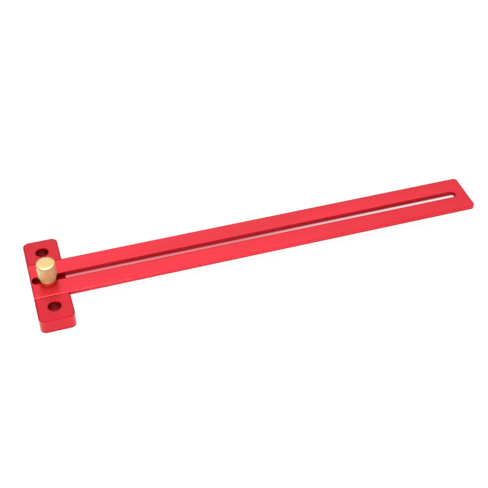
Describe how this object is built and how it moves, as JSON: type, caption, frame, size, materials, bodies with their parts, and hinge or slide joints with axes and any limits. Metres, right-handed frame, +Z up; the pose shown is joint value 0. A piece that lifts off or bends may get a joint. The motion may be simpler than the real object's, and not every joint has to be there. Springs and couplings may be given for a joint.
{
  "type": "sliding bevel",
  "caption": "T-shaped carpenter's gauge: a slotted red anodised aluminium blade slides through a grooved stock and is locked by a round brass knob on a screw",
  "frame": {"origin": "midway between the two mounting holes of the stock, on its underside, on the clamp screw's axis", "axes": "+X along the blade, away from the stock; +Y along the stock; +Z up, along the clamp screw towards the knob"},
  "size_m": [0.3, 0.071, 0.0241],
  "materials": {
    "red_anodised_stock": "satin red anodised, fine milled grain along the stock",
    "red_anodised_blade": "satin red anodised, fine drawn grain along the blade",
    "zinc_steel": "bright zinc plated, rolled thread",
    "brass_washer": "turned brass",
    "brass_knob": "turned brass, coned ends, satin with a fine straight grip on its side"
  },
  "bodies": {
    "stock": {"stock": "red_anodised_stock", "clamp_screw": "zinc_steel"},
    "blade": {"blade": "red_anodised_blade"},
    "washer": {"washer": "brass_washer"},
    "knob": {"clamp_knob": "brass_knob"}
  },
  "joints": [
    {"name": "blade_slide", "type": "slide", "parent": "stock", "child": "blade", "axis": [1, 0, 0], "range_m": [-0.2783, 0.0073]},
    {"name": "clamp_lift", "type": "slide", "parent": "stock", "child": "washer", "axis": [0, 0, 1], "range_m": [0, 0.004]},
    {"name": "knob_turn", "type": "hinge", "parent": "washer", "child": "knob", "pos_m": [0, 0, 0.0115], "axis": [0, 0, 1], "range_deg": [0, 1801]}
  ],
  "couplings": [
    {"joint": "knob_turn", "follows": "clamp_lift", "rad_per_m": 7854}
  ]
}
